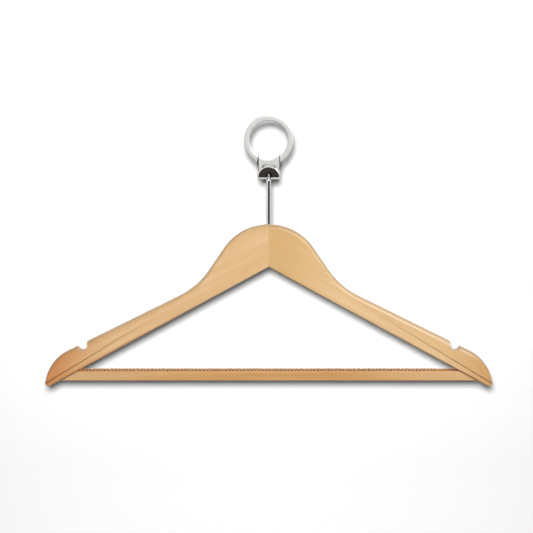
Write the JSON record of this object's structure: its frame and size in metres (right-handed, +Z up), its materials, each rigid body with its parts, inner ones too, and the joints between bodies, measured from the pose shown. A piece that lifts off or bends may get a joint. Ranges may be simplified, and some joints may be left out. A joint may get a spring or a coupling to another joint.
{
  "type": "clothes hanger",
  "caption": "Wooden clothes hanger with strap notches and a ribbed trouser bar, carried by a ball pin in a captive rail ring.",
  "frame": {"origin": "centre of the ring's bore, halfway through its thickness", "axes": "+Z up along the hanging pin, +X along the shoulders to the right as seen from the front, -Y out of the front face"},
  "size_m": [0.4452, 0.012, 0.2684],
  "materials": {
    "ring_metal": "satin nickel plate",
    "liner_nylon": "moulded, matt black",
    "pin_chrome": "bright chrome plate",
    "left_wood": "clear satin lacquer over pale maple-like wood",
    "right_wood": "clear satin lacquer over pale maple-like wood",
    "bar_wood": "clear satin lacquer",
    "strip_pvc": "soft translucent tan ribbed strip",
    "dowel_beech": "bare beech"
  },
  "bodies": {
    "ring": {"security_ring": "ring_metal", "socket_liner": "liner_nylon"},
    "pin": {"ball_pin": "pin_chrome"},
    "frame": {"left_shoulder": "left_wood", "right_shoulder": "right_wood", "trouser_bar": "bar_wood", "grip_strip": "strip_pvc", "left_bar_dowel": "dowel_beech", "right_bar_dowel": "dowel_beech"}
  },
  "joints": [
    {"name": "pin_release", "type": "slide", "parent": "ring", "child": "pin", "axis": [0, -1, 0], "range_m": [0, 0.016]},
    {"name": "frame_swivel", "type": "hinge", "parent": "pin", "child": "frame", "pos_m": [0, 0, -0.0823], "axis": [0, 0, 1], "continuous": true}
  ]
}
